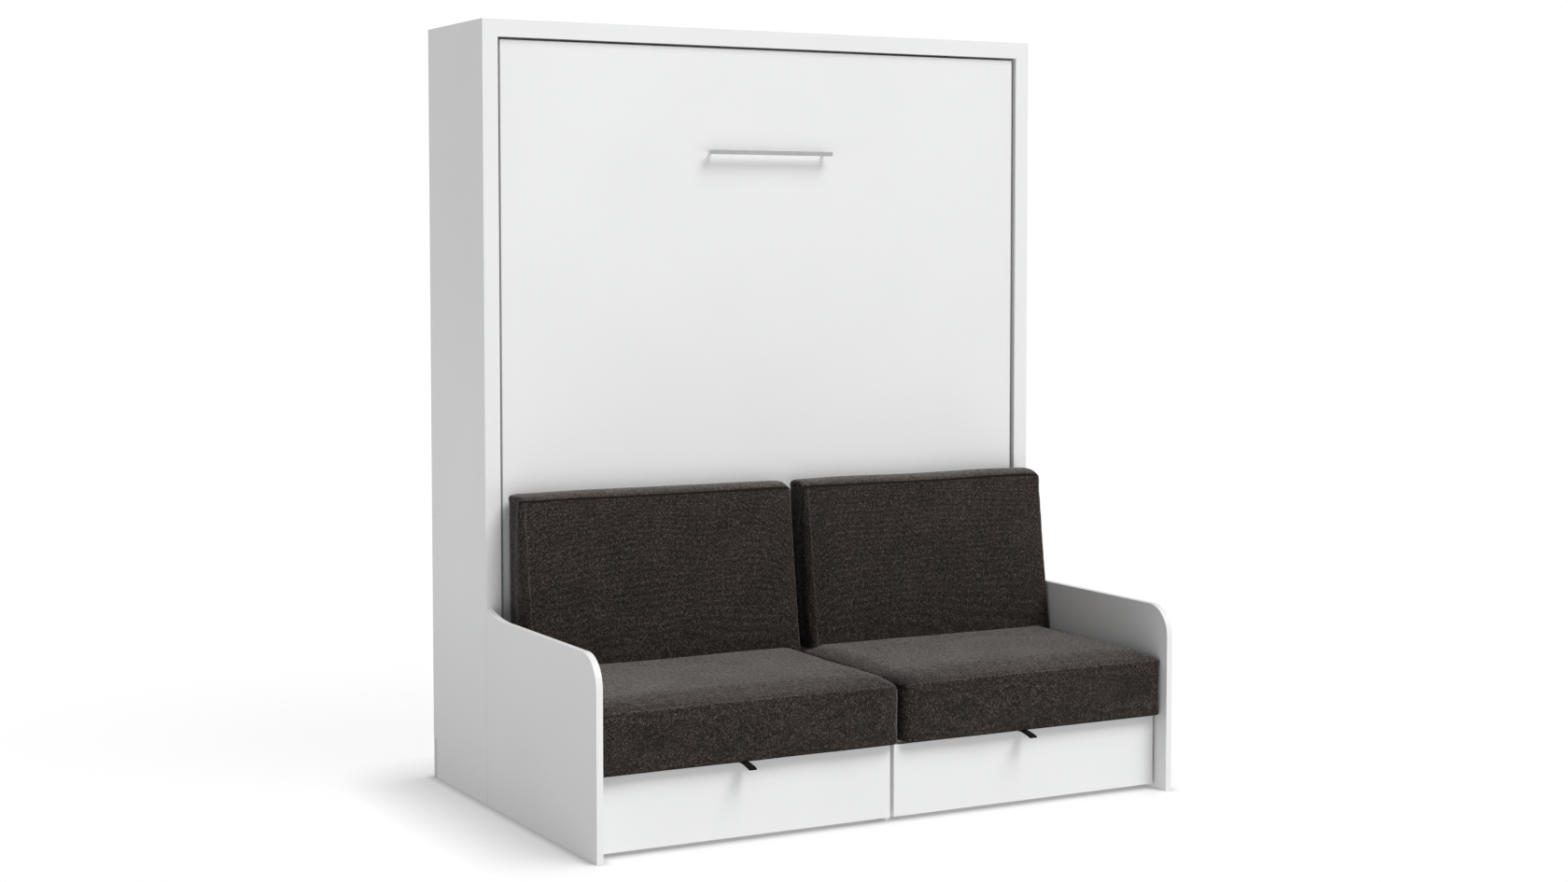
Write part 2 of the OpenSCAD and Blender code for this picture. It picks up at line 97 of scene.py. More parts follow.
class Tree:
    """A material's node tree, with its output and Principled shader in place."""

    def __init__(self, name, **sockets):
        self.material = bpy.data.materials.new(name)
        self.material.use_nodes = True
        self.nodes = self.material.node_tree.nodes
        self.links = self.material.node_tree.links
        self.shader = self.nodes["Principled BSDF"]
        self.set(self.shader, sockets)
        self.place = self.nodes.new("ShaderNodeTexCoord").outputs["Object"]
        self.facing = self.place.node.outputs["Normal"]

    def set(self, node, sockets):
        """Sets or links sockets: an underscore stands for a space, and a number is an index."""
        for name, value in sockets.items():
            socket = node.inputs[name if isinstance(name, int) else name.replace("_", " ")]
            if isinstance(value, bpy.types.NodeSocket):
                self.links.new(value, socket)
            elif hasattr(socket.default_value, "__len__") and len(socket.default_value) == 4:
                socket.default_value = (*value, 1)
            else:
                socket.default_value = value

    def math(self, operation, a, b=0.0):
        node = self.nodes.new("ShaderNodeMath")
        node.operation = operation
        self.set(node, {0: a, 1: b})
        return node.outputs[0]

    def total(self, first, *others):
        for other in others:
            first = self.math("ADD", first, other)
        return first

    def product(self, first, *others):
        for other in others:
            first = self.math("MULTIPLY", first, other)
        return first

    def wave(self, coordinate, pitch):
        """A sine that repeats every pitch metres along coordinate."""
        return self.math("SINE", self.product(coordinate, 2 * math.pi / pitch))

    def scaled(self, x, y, z):
        """Object coordinates, stretched: the sizes are the repeats per metre along each axis."""
        node = self.nodes.new("ShaderNodeMapping")
        self.set(node, {"Vector": self.place, "Scale": (x, y, z)})
        return node.outputs[0]

    def noise(self, x, y=None, z=None, detail=3.0, rough=0.55, distortion=0.0):
        """Noise with so many repeats per metre along each axis; x alone stands for all three."""
        node = self.nodes.new("ShaderNodeTexNoise")
        y, z = y or x, z or x
        self.set(node, {"Vector": self.scaled(x, y, z), "Scale": 1.0, "Detail": detail,
                        "Roughness": rough, "Distortion": distortion})
        return node.outputs["Fac"]

    def attribute(self, name):
        """The number that each point of the mesh stores under name."""
        node = self.nodes.new("ShaderNodeAttribute")
        node.attribute_name = name
        return node.outputs["Fac"]

    def axes(self, vector=None):
        """X, Y and Z of vector, or else of the object coordinates."""
        node = self.nodes.new("ShaderNodeSeparateXYZ")
        self.set(node, {0: vector or self.place})
        return node.outputs

    def ramp(self, value, stops):
        """A colour for each place along value: stops are (place, colour)."""
        node = self.nodes.new("ShaderNodeValToRGB")
        ramp = node.color_ramp
        for i, (at, colour) in enumerate(stops):
            stop = ramp.elements[i] if i < 2 else ramp.elements.new(at)
            stop.position = at
            stop.color = (*colour, 1)
        self.set(node, {0: value})
        return node.outputs["Color"]

    def span(self, value, low, high, start=0.0, end=1.0):
        """value, taken from the range start to end to the range low to high."""
        node = self.nodes.new("ShaderNodeMapRange")
        self.set(node, {"Value": value, "From_Min": start, "From_Max": end,
                        "To_Min": low, "To_Max": high})
        return node.outputs[0]

    def openness(self, distance, facing):
        """1 in the open, less where something stands within distance in the direction facing."""
        way = self.nodes.new("ShaderNodeCombineXYZ")
        self.set(way, {"X": facing[0], "Y": facing[1], "Z": facing[2]})
        node = self.nodes.new("ShaderNodeAmbientOcclusion")
        self.set(node, {"Distance": distance, "Normal": way.outputs[0]})
        return node.outputs["AO"]

    def colour(self, value):
        self.set(self.shader, {"Base_Color": value})

    def bump(self, height, strength, distance):
        node = self.nodes.new("ShaderNodeBump")
        self.set(node, {"Height": height, "Strength": strength, "Distance": distance})
        self.set(self.shader, {"Normal": node.outputs[0]})


def grey(value):
    return (value, value, value)


# ---------------------------------------------------------------- materials

# How far apart the threads and ribs of the cloths are, in metres.
YARN_PITCH = 0.0024
RIB_PITCH = 0.0022
PICK_PITCH = 0.0016


def melamine(name, tone):
    """White laminate: a fine pearl finish and faint cloudiness."""
    t = Tree(name, Specular_IOR_Level=0.45)
    cloudiness = 0.012
    cloud = t.noise(2.2, detail=4)
    pearl = t.noise(1400, detail=2)
    shade = t.span(cloud, tone - cloudiness, tone + cloudiness, 0.3, 0.7)
    t.colour(t.ramp(shade, [(0.0, (0, 0, 0)), (1.0, (0.995, 1.0, 1.0))]))
    t.set(t.shader, {"Roughness": t.span(pearl, 0.36, 0.5, 0.3, 0.7)})
    t.bump(pearl, 0.12, 0.0002)
    return t.material


def upholstery():
    """Dark brown-grey tweed: two yarns that cross, slubs along each, and a soft sheen.

    Each piece holds two distances in metres: seam, to a sunk seam, and welt, to a raised one.
    """
    t = Tree("upholstery", Roughness=0.9, Specular_IOR_Level=0.15, Sheen_Roughness=0.25,
             Sheen_Tint=(0.95, 0.91, 0.90))
    x, y, z = t.axes()
    across, _, upward = t.axes(t.facing)
    seam, welt = t.attribute("seam"), t.attribute("welt")

    # The weave: yarns that run either way, light flecks, and a fine even grid under them.
    weft = t.noise(140, 480, 480, detail=3, rough=0.65)
    warp = t.noise(480, 140, 140, detail=3, rough=0.65)
    fleck = t.noise(330, detail=2, rough=0.7)
    cloud = t.noise(7, detail=2)
    nap = t.noise(120, 62, 120, detail=3, rough=0.75)
    grid = t.total(t.wave(x, YARN_PITCH), t.wave(z, YARN_PITCH), t.wave(y, YARN_PITCH))
    weave = t.total(weft, warp, t.product(fleck, 0.95), t.product(cloud, 0.12),
                    t.product(grid, 0.03), t.product(nap, 0.09))

    # Painted light in its colour: dark in a sunk seam, light on a raised one, paler amid an
    # up-facing panel.
    # Painted shade: darker along a sunk seam, as if shade fell in its groove; this also weakens the
    # sheen there.
    sunk = t.span(seam, 0.1, 1.0, 0.0012, 0.0038)
    # Painted highlight: lighter along a raised seam, as if it caught the lamp.
    raised = t.span(welt, 0.22, 0.0, 0.0008, 0.0036)
    # Painted top light: paler towards the middle of a panel that faces up, as if lit from above.
    painted_top_light = t.product(t.span(welt, 0.2, 1.0, 0.0, 0.22), t.span(seam, 0.5, 1.0, 0.0, 0.09),
                      t.span(upward, 0.0, 1.0, 0.5, 1.0))
    weave_with_top_light = t.product(t.span(weave, 0.0, 1.0, 1.30, 1.84), t.span(painted_top_light, 1.0, 1.95))
    t.colour(t.ramp(t.total(t.product(weave_with_top_light, sunk), raised), [
        (0.0, (0.0055, 0.0040, 0.0033)), (0.42, (0.0165, 0.0125, 0.0105)),
        (0.68, (0.034, 0.0265, 0.0228)), (1.0, (0.105, 0.086, 0.076))]))

    # The sheen of its pile, weaker on the sides that face left and right.
    pile = t.total(t.span(nap, -0.60, 0.68, 0.3, 0.7), t.span(weave_with_top_light, 0.45, 1.15))
    sideways = t.math("ABSOLUTE", across)
    pile = t.product(pile, t.span(sideways, 1.0, 0.35, 0.3, 1.0))
    t.set(t.shader, {"Sheen Weight": t.product(sunk, pile)})
    t.bump(t.total(t.product(grid, 0.12), weave), 0.6, 0.0011)
    return t.material


def ticking():
    """Pale knitted mattress cover."""
    t = Tree("ticking", Roughness=0.9, Sheen_Weight=0.3, Sheen_Roughness=0.5)
    knit = t.noise(900, 900, 420, detail=2)
    cloud = t.noise(6, detail=3)
    t.colour(t.ramp(t.total(t.product(knit, 0.5), t.product(cloud, 0.5)),
                    [(0.3, (0.70, 0.69, 0.655)), (0.7, (0.83, 0.82, 0.79))]))
    t.bump(knit, 0.5, 0.0008)
    return t.material


def webbing(name, tone):
    """Flat woven tape with ribs across it."""
    t = Tree(name, Roughness=0.85, Specular_IOR_Level=0.12, Sheen_Weight=0.04, Sheen_Roughness=0.5)
    x, y, z = t.axes()
    rib = t.wave(x, RIB_PITCH)
    pick = t.wave(t.total(y, z), PICK_PITCH)
    weave = t.total(t.product(rib, 0.5), t.product(pick, 0.5))
    fuzz = t.noise(500, detail=2)
    t.colour(t.ramp(t.span(t.total(weave, fuzz), 0.0, 1.0, -0.6, 1.6),
                    [(0.0, grey(tone * 0.6)), (1.0, grey(tone * 1.9))]))
    t.bump(weave, 0.7, 0.0005)
    return t.material


def brushed(name, tone, rough, along):
    """Metal with a drawn grain along one axis: along holds the repeats per metre on X, Y and Z."""
    t = Tree(name, Metallic=1.0)
    grain = t.noise(*along, detail=4, rough=0.65)
    cloud = t.noise(14, detail=3)
    t.colour(t.ramp(t.total(t.product(grain, 0.7), t.product(cloud, 0.3)),
                    [(0.25, grey(tone * 0.86)), (0.75, grey(tone * 1.1))]))
    t.set(t.shader, {"Roughness": t.span(grain, rough - 0.07, rough + 0.09, 0.3, 0.7)})
    t.bump(grain, 0.15, 0.0002)
    return t.material


def zinc():
    """Zinc-plated steel: a cloudy, faintly spangled bright grey."""
    t = Tree("zinc", Metallic=1.0)
    spangle = t.noise(120, detail=2, distortion=1.5)
    fine = t.noise(900, detail=2)
    t.colour(t.ramp(spangle, [(0.3, (0.40, 0.41, 0.42)), (0.7, (0.60, 0.61, 0.62))]))
    t.set(t.shader, {"Roughness": t.span(spangle, 0.28, 0.46, 0.3, 0.7)})
    t.bump(fine, 0.2, 0.0002)
    return t.material


def painted(name, tone, rough):
    """Powder-coated steel with a fine orange peel."""
    t = Tree(name, Specular_IOR_Level=0.5)
    peel = t.noise(700, detail=2)
    cloud = t.noise(12, detail=3)
    t.colour(t.ramp(cloud, [(0.3, grey(tone * 0.9)), (0.7, grey(tone * 1.12))]))
    t.set(t.shader, {"Roughness": t.span(peel, rough - 0.08, rough + 0.08, 0.3, 0.7)})
    t.bump(peel, 0.3, 0.0003)
    return t.material


def slat_wood():
    """Glued beech slats: a long grain along X, with pores and darker bands."""
    t = Tree("slat_wood", Roughness=0.45)
    grain = t.noise(3, 190, 190, detail=6, rough=0.65, distortion=0.6)
    pore = t.noise(45, 1600, 1600, detail=2)
    t.colour(t.ramp(t.total(t.product(grain, 0.75), t.product(pore, 0.25)), [
        (0.28, (0.36, 0.20, 0.09)), (0.52, (0.55, 0.34, 0.17)), (0.75, (0.70, 0.48, 0.27))]))
    t.bump(pore, 0.3, 0.0003)
    return t.material


def moulded(name, tone, rough):
    """Moulded plastic or rubber with a fine spark texture."""
    t = Tree(name, Specular_IOR_Level=0.4)
    spark = t.noise(1100, detail=3)
    t.colour(t.ramp(spark, [(0.3, grey(tone * 0.8)), (0.7, grey(tone * 1.25))]))
    t.set(t.shader, {"Roughness": t.span(spark, rough - 0.06, rough + 0.08, 0.3, 0.7)})
    t.bump(spark, 0.35, 0.0003)
    return t.material


MATERIALS = {
    "melamine": melamine("melamine", 0.80),
    "filler": melamine("filler", 0.66),
    "upholstery": upholstery(),
    "ticking": ticking(),
    "webbing": webbing("webbing", 0.002),
    "handle": brushed("handle", 0.68, 0.34, (6, 1500, 1500)),
    "slat_wood": slat_wood(),
    "holder_plastic": moulded("holder_plastic", 0.03, 0.55),
    "rubber": moulded("rubber", 0.02, 0.75),
    "zinc": zinc(),
    "strut_black": painted("strut_black", 0.018, 0.3),
    "rod_chrome": brushed("rod_chrome", 0.75, 0.14, (1200, 1200, 8)),
    "steel_paint": painted("steel_paint", 0.24, 0.42),
}
SLOTS = {part["node"]: part["material_slot"] for part in frame["record"]["subparts"]}
# How far a sharp edge is worn back, in millimetres, by material slot.
EDGES = {"melamine": 0.7, "filler": 0.5, "handle": 0.9, "slat_wood": 1.5, "holder_plastic": 0.4,
         "rubber": 1.5, "zinc": 0.35, "steel_paint": 1.2}


def dress_cad():
    """Gives each CAD node its material, and a small worn edge where it has sharp ones."""
    for name, obj in NODES.items():
        obj.data.materials.clear()
        obj.data.materials.append(MATERIALS[SLOTS[name]])
        if SLOTS[name] in EDGES:
            edge = obj.modifiers.new("edge", "BEVEL")
            edge.width = EDGES[SLOTS[name]] * MM
            edge.segments = 2
            edge.limit_method = "ANGLE"
            edge.angle_limit = math.radians(40)
            edge.harden_normals = True


dress_cad()


# ---------------------------------------------------------------- soft pieces

# The webbing's thickness and the mattress straps' width, in metres.
TAPE = 0.0014
STRAP_WIDTH = 0.040


def add_piece(name, vertices, faces, slot, body, *nodes):
    """A new smooth mesh in the row frame that rides on body and stands for the CAD nodes."""
    mesh = bpy.data.meshes.new(name)
    mesh.from_pydata(vertices, [], faces)
    mesh.update()
    mesh.shade_smooth()
    obj = bpy.data.objects.new(name, mesh)
    bpy.context.collection.objects.link(obj)
    mesh.materials.append(MATERIALS[slot])
    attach(obj, body)
    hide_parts(*nodes)
    return obj


def clamp(value, low, high):
    return min(max(value, low), high)


def margin(place, low, high):
    """Distance from place to the nearer of low and high."""
    return min(place - low, high - place)


def share(place, low, high):
    """How far place is along the way from low to high, as a fraction."""
    return (place - low) / (high - low)


def arch(part):
    """1 where part is a half, falling in a curve to 0 where it is 0 or 1."""
    return 1 - (2 * part - 1) ** 2


def same(a, b):
    """True for two places that differ by rounding only."""
    return abs(a - b) < 1e-5


def cuts(low, high, cell, edge, extra=()):
    """Places of the mesh lines from low to high: cell apart, and closer together within edge of
    both ends and beside the extra lines."""
    near = [edge * f for f in (0, 0.12, 0.3, 0.55, 0.8, 1.0)]
    beside = (-0.009, -0.0045, 0, 0.0045, 0.009)
    closest = 0.0028
    marks = [low + n for n in near] + [high - n for n in near]
    marks += [e + d for e in extra for d in beside]
    count = max(2, round((high - low - 2 * edge) / cell))
    step = (high - low - 2 * edge) / count
    marks += [low + edge + step * i for i in range(1, count)]
    marks.sort()
    kept = [low]
    fixed = {low, high, *extra}
    for mark in marks[1:]:
        if mark - kept[-1] > closest:
            kept.append(mark)
        elif mark in fixed and kept[-1] not in fixed:
            kept[-1] = mark
    kept[-1] = high
    return kept


def box_shell(xs, ys, zs):
    """Vertices and quads of a box's six sides, on a grid with the given lines."""
    last = (len(xs) - 1, len(ys) - 1, len(zs) - 1)
    index, points, faces = {}, [], []

    def vertex(i, j, k):
        if (i, j, k) not in index:
            index[i, j, k] = len(points)
            points.append(Vector((xs[i], ys[j], zs[k])))
        return index[i, j, k]

    for axis in range(3):
        u, v = (axis + 1) % 3, (axis + 2) % 3
        for side in (0, last[axis]):
            for a in range(last[u]):
                for b in range(last[v]):
                    quad = []
                    for da, db in ((0, 0), (1, 0), (1, 1), (0, 1)):
                        spot = [0, 0, 0]
                        spot[axis], spot[u], spot[v] = side, a + da, b + db
                        quad.append(vertex(*spot))
                    faces.append(quad if side else quad[::-1])
    return points, faces


def rounded(point, low, high, radius):
    """point on a box's side, moved onto the same box with rounded edges and corners."""
    inner, over = Vector(point), Vector((0, 0, 0))
    for a in range(3):
        inner[a] = clamp(point[a], low[a] + radius[a], high[a] - radius[a])
        over[a] = (point[a] - inner[a]) / radius[a]
    if over.length < 1e-6:
        return inner
    over.normalize()
    return inner + Vector(over[a] * radius[a] for a in range(3))


def inflate(obj, pressure, cap, frames=20, held=()):
    """Blows the mesh up as cloth with the held points fast, each within cap of where it began."""
    rest = [v.co.copy() for v in obj.data.vertices]
    cloth = obj.modifiers.new("cloth", "CLOTH")
    settings = cloth.settings
    settings.quality = 5
    settings.mass = 0.25
    settings.tension_stiffness = settings.compression_stiffness = 18
    settings.shear_stiffness = 10
    settings.bending_stiffness = 1.2
    settings.use_pressure = True
    settings.uniform_pressure_force = pressure
    settings.effector_weights.gravity = 0
    settings.shrink_min = -0.004
    if held:
        group = obj.vertex_groups.new(name="held")
        group.add(list(held), 1.0, "REPLACE")
        settings.vertex_group_mass = group.name
    cloth.collision_settings.use_collision = False
    cloth.collision_settings.use_self_collision = False
    cloth.point_cache.frame_start = 1
    cloth.point_cache.frame_end = frames
    scene = bpy.context.scene
    for number in range(1, frames + 1):
        scene.frame_set(number)
    blown = obj.evaluated_get(bpy.context.evaluated_depsgraph_get()).data
    moved = [v.co.copy() for v in blown.vertices]
    obj.modifiers.remove(cloth)
    for vertex, start, end in zip(obj.data.vertices, rest, moved):
        move = end - start
        if move.length > 1e-9:
            move *= cap * math.tanh(move.length / cap) / move.length
        vertex.co = start + move
    scene.frame_set(1)


def refine(obj):
    """One level of subdivision over the finished shape."""
    finer = obj.modifiers.new("smooth", "SUBSURF")
    finer.levels = finer.render_levels = 1


def groove(distance, width, depth):
    """Height beside a seam: a narrow valley with a soft roll on each side."""
    d = abs(distance) / width
    shoulder = 0.38 * math.exp(-((d - 1.35) ** 2) * 1.6)
    valley = math.exp(-(d * d) * 1.8)
    return depth * (shoulder - valley)


def seam_push(obj, grid, seams, width, depth):
    """Sinks the surface along seams. seams holds (axis, place, test): a seam that runs where the
    grid's coordinate on axis is place, on the part of the surface that test accepts."""
    mesh = obj.data
    normals = [v.normal.copy() for v in mesh.vertices]
    for vertex, start, normal in zip(mesh.vertices, grid, normals):
        push = sum(groove(start[axis] - place, width, depth)
                   for axis, place, test in seams if test(start))
        vertex.co = vertex.co + normal * push


def crease(point, scale, seed, height):
    """Gentle unevenness of stuffed cloth, with scale repeats per metre."""
    spot = point * scale + Vector((seed, -seed, seed * 0.5))
    return noise.noise(spot) * height


def round_edges(x, y, ends, depths, radii):
    """x and y on or in a rectangle, with its corners rounded: radii are for its two ends."""
    radius = radii[x > (ends[0] + ends[1]) / 2]
    cx = clamp(x, ends[0] + radius, ends[1] - radius)
    cy = clamp(y, depths[0] + radius, depths[1] - radius)
    dx, dy = x - cx, y - cy
    length = math.hypot(dx, dy)
    if length < 1e-9:
        return x, y
    scale = max(abs(dx), abs(dy)) / length
    return cx + dx * scale, cy + dy * scale


def roll(distance, reach):
    """0 at an edge to 1 at reach from it, along a quarter of an ellipse."""
    t = clamp(1 - distance / reach, 0.0, 1.0)
    return math.sqrt(1 - t * t)


def dip(distance, reach, drop):
    """How far a rounded surface falls: by drop at its edge, and by 0 at reach from it."""
    return drop * (1 - roll(distance, reach))


def mark_seams(obj, seam, welt):
    """Stores each point's distance to the nearest sunk and the nearest raised seam."""
    for name, values in (("seam", seam), ("welt", welt)):
        obj.data.attributes.new(name, "FLOAT", "POINT").data.foreach_set("value", values)


def back_cushion(side, seed):
    """A box cushion that leans on the door: deeper at its foot, with a seam round its front panel
    and a boxing strip that swells above the front seam."""
    node = "back_cushion_" + side
    low, high = (Vector(c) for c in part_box(node))
    depth = 0.098
    lean = (high.y - low.y) - depth + 0.010
    # The stuffing takes the cover a little past its CAD box.
    ends = (low.x - 0.004, high.x) if side == "left" else (low.x, high.x + 0.002)
    foot = low.z + 0.009
    head = high.z + 0.004
    inset = (0.020, 0.007)
    stitches = (ends[0] + inset[0], ends[1] - inset[1])
    xs = cuts(*ends, cell=0.014, edge=0.014, extra=stitches)
    ys = cuts(0.0, depth, cell=0.012, edge=0.014)
    zs = cuts(foot, head, cell=0.013, edge=0.016)
    grid, faces = box_shell(xs, ys, zs)

    def shaped(p):
        x, y = round_edges(p.x, p.y, ends, (0.0, depth), inset)
        up = share(p.z, foot, head)
        front = 1 - y / depth
        side_way = margin(p.x, *ends)
        top = head - dip(p.y, reach=0.050, drop=0.025) - dip(depth - p.y, reach=0.04, drop=0.012)
        top -= dip(side_way, reach=0.05, drop=0.004) * roll(p.y, 0.03)
        top -= dip(side_way, reach=0.016, drop=0.010)
        belly = 0.005 * arch(share(x, *ends)) * arch(up)
        face = high.y - depth - front * (lean * (1 - up) + belly)
        return Vector((x, face + y, foot + up * (top - foot)))

    shell = [shaped(p) for p in grid]
    obj = add_piece(node + "_cover", shell, faces, "upholstery", "cushion_" + side, node)

    def distances(p):
        """To the front panel's top or foot edge, to its side seams, and to the back panel."""
        rise = margin(p.z, foot, head)
        if same(p.y, 0):
            return (rise, min(abs(p.x - stitches[0]), abs(stitches[1] - p.x)), 1.0)
        if same(rise, 0):
            return (p.y, 1.0, depth - p.y)
        return (1.0, 1.0, depth - p.y if same(margin(p.x, *ends), 0) else 0.0)

    seams = [distances(p) for p in grid]
    held = [i for i, d in enumerate(seams) if same(min(d[:2]), 0)]
    inflate(obj, pressure=3.0, cap=0.007, held=held)
    for v, p in zip(obj.data.vertices, grid):
        v.co.y += crease(p, scale=5.0, seed=seed, height=0.0035) * (1 - p.y / depth)
        v.co.z += crease(p, scale=4.0, seed=seed + 7, height=0.003) * share(p.z, foot, head)
        v.co.y = min(v.co.y, high.y + 0.004)
        v.co.z = max(v.co.z, foot)
        v.co.x = clamp(v.co.x, ends[0] - 0.001, ends[1] + 0.001)
    mark_seams(obj, [min(d[0], d[2]) for d in seams], [d[1] for d in seams])
    refine(obj)


def seat_cushion(side, seed):
    """A box cushion: a crowned top panel that rolls down to a raised seam, and a flat base."""
    node = "seat_cushion_" + side
    low, high = (Vector(c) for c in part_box(node))
    radii = (0.012, 0.022) if side == "left" else (0.022, 0.012)
    # The stuffing takes the cover a little past its CAD box.
    ends = (low.x - 0.002, high.x + 0.009) if side == "left" else (low.x, high.x + 0.002)
    edge = high.z + 0.003
    front = low.y + 0.2
    xs = cuts(*ends, cell=0.015, edge=0.014)
    ys = cuts(low.y, high.y, cell=0.016, edge=0.022)
    zs = cuts(low.z, edge, cell=0.013, edge=0.016)
    grid, faces = box_shell(xs, ys, zs)

    def shaped(p):
        x, y = round_edges(p.x, p.y, ends, (low.y, high.y), radii)
        up = share(p.z, low.z, edge)
        side_way = margin(p.x, *ends)
        crown = 0.020 * roll(p.y - low.y, 0.11) * roll(side_way, 0.06)
        crown *= 1 - 0.3 * math.exp(-(high.y - p.y) / 0.05)
        corner = 0.014 if abs(p.x) < 0.3 else 0.004
        droop = dip(side_way, reach=0.03, drop=corner) * (up ** 3 - 0.5 * (1 - up) ** 3)
        belly = 0.004 * arch(share(x, *ends)) * arch(up) if p.y < front else 0.0
        return Vector((x, y - belly, p.z + crown * up ** 8 - droop))

    shell = [shaped(p) for p in grid]
    obj = add_piece(node + "_cover", shell, faces, "upholstery", "root", node)

    def distances(p):
        """To the front edge of the top panel, to its other edges, and to the base's edges."""
        if same(p.z, low.z):
            return (1.0, 1.0, min(margin(p.x, *ends), margin(p.y, low.y, high.y)))
        if same(p.z, edge):
            return (p.y - low.y, min(margin(p.x, *ends), high.y - p.y), 1.0)
        if same(p.y, low.y):
            return (edge - p.z, 1.0, p.z - low.z)
        return (1.0, edge - p.z, p.z - low.z)

    seams = [distances(p) for p in grid]
    held = [i for i, d in enumerate(seams) if same(min(d), 0)]
    inflate(obj, pressure=3.0, cap=0.005, held=held)
    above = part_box("back_cushion_" + side)[0]
    for v, p in zip(obj.data.vertices, grid):
        if same(p.z, edge):
            v.co.z += crease(p, scale=4.5, seed=seed, height=0.003)
        if p.y < front:
            v.co.y += crease(p, scale=5.0, seed=seed + 3, height=0.004)
        v.co.z = max(v.co.z, low.z)
        if p.y > above.y + 0.010:
            v.co.z = min(v.co.z, above.z + 0.012)
        v.co.y = min(v.co.y, high.y)
        v.co.x = clamp(v.co.x, ends[0] - 0.0002, ends[1] + 0.0002)
    mark_seams(obj, [min(d[1], d[2]) for d in seams], [d[0] for d in seams])
    refine(obj)
    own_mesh(obj)


def mattress():
    """A sprung mattress: quilted panels, taped edges, and dents under the two straps."""
    low, high = (Vector(c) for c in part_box("mattress"))
    low.x += 0.004
    high.x -= 0.004
    half = STRAP_WIDTH / 2
    straps = [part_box("mattress_straps")[0].z + half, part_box("mattress_straps")[1].z - half]
    tapes = (low.y + 0.028, high.y - 0.028)
    xs = cuts(low.x, high.x, cell=0.021, edge=0.030)
    ys = cuts(low.y, high.y, cell=0.022, edge=0.030, extra=tapes)
    zs = cuts(low.z, high.z, cell=0.021, edge=0.030, extra=straps)
    grid, faces = box_shell(xs, ys, zs)
    shell = [rounded(p, low, high, radius=(0.045, 0.022, 0.045)) for p in grid]
    obj = add_piece("mattress_cover", shell, faces, "ticking", "bed", "mattress")
    inflate(obj, pressure=2.0, cap=0.006, frames=14)

    def inward(p):
        """Distance from the mattress's four narrow sides."""
        return min(margin(p.x, low.x, high.x), margin(p.z, low.z, high.z))

    def on_side(p):
        return inward(p) < 0.01

    seam_push(obj, grid, [(1, tape, on_side) for tape in tapes], width=0.0042, depth=0.004)
    pitch, quilt_width, quilt_depth = 0.19, 0.026, 0.007
    flat, fade = 0.018, 0.035
    for v, p in zip(obj.data.vertices, grid):
        if inward(p) > 0.03 and not low.y + 0.001 < p.y < high.y - 0.001:
            a, b = (p.x + p.z) / pitch, (p.x - p.z) / pitch
            valley = min(abs(a - round(a)), abs(b - round(b))) * pitch / quilt_width
            sink = quilt_depth * math.exp(-valley * valley)
            v.co.y += sink if p.y < (low.y + high.y) / 2 else -sink
        for strap_z in straps:
            reach = max(0.0, abs(p.z - strap_z) - flat) / fade
            press = math.exp(-reach * reach)
            v.co.y -= max(0.0, v.co.y - (high.y - 0.001)) * press
            v.co.x -= math.copysign(max(0.0, abs(v.co.x) - (high.x + 0.002)), v.co.x) * press
        v.co.y = max(v.co.y, low.y)
    refine(obj)


def ribbon(name, path, width, body, node, across):
    """A flat tape swept along path, with slightly thinner, rounded selvedges."""
    across = Vector(across)
    half = [(-0.5, 0.0), (-0.47, 0.4), (-0.3, 0.496), (0.3, 0.496), (0.47, 0.4)]
    profile = half + [(-u, -h) for u, h in half]
    points, faces = [], []
    for i, spot in enumerate(path):
        ahead = (path[min(i + 1, len(path) - 1)] - path[max(i - 1, 0)]).normalized()
        up = across.cross(ahead).normalized()
        points += [spot + across * (u * width) + up * (h * TAPE) for u, h in profile]
    n = len(profile)
    for i in range(len(path) - 1):
        for j in range(n):
            a, b = i * n + j, i * n + (j + 1) % n
            faces.append((a, b, b + n, a + n))
    faces.append(tuple(range(n))[::-1])
    faces.append(tuple(range(len(points) - n, len(points))))
    add_piece(name, points, faces, "webbing", body, node)


def pull_tab(side):
    """A doubled webbing tab: it lies on the drawer front, droops a little and folds at its tip."""
    node = "pull_tab_" + side
    low, high = (Vector(c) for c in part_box(node))
    x = (low.x + high.x) / 2
    fold = 0.0021
    length = high.y - low.y - fold - TAPE
    stiff = 0.35
    drop = 0.010
    steps, turns = 14, 8

    def run(f, lift=0):
        free = max(0.0, f - stiff) / (1 - stiff)
        sunk = drop * free ** 1.6
        return Vector((x, high.y - f * length, low.z + TAPE * 0.5 + lift - sunk))

    path = [run(i / steps) for i in range(steps + 1)]
    tip = path[-1] + Vector((0, 0, fold))
    for i in range(1, turns):
        turn = math.pi * i / turns
        path.append(tip + Vector((0, -math.sin(turn) * fold, -math.cos(turn) * fold)))
    for i in range(steps, -1, -1):
        path.append(run(i / steps, 2 * fold * (0.4 + 0.6 * i / steps)))
    ribbon(node + "_tape", path, high.x - low.x - 0.002, "drawer_" + side, node,
           across=(1, 0, 0))


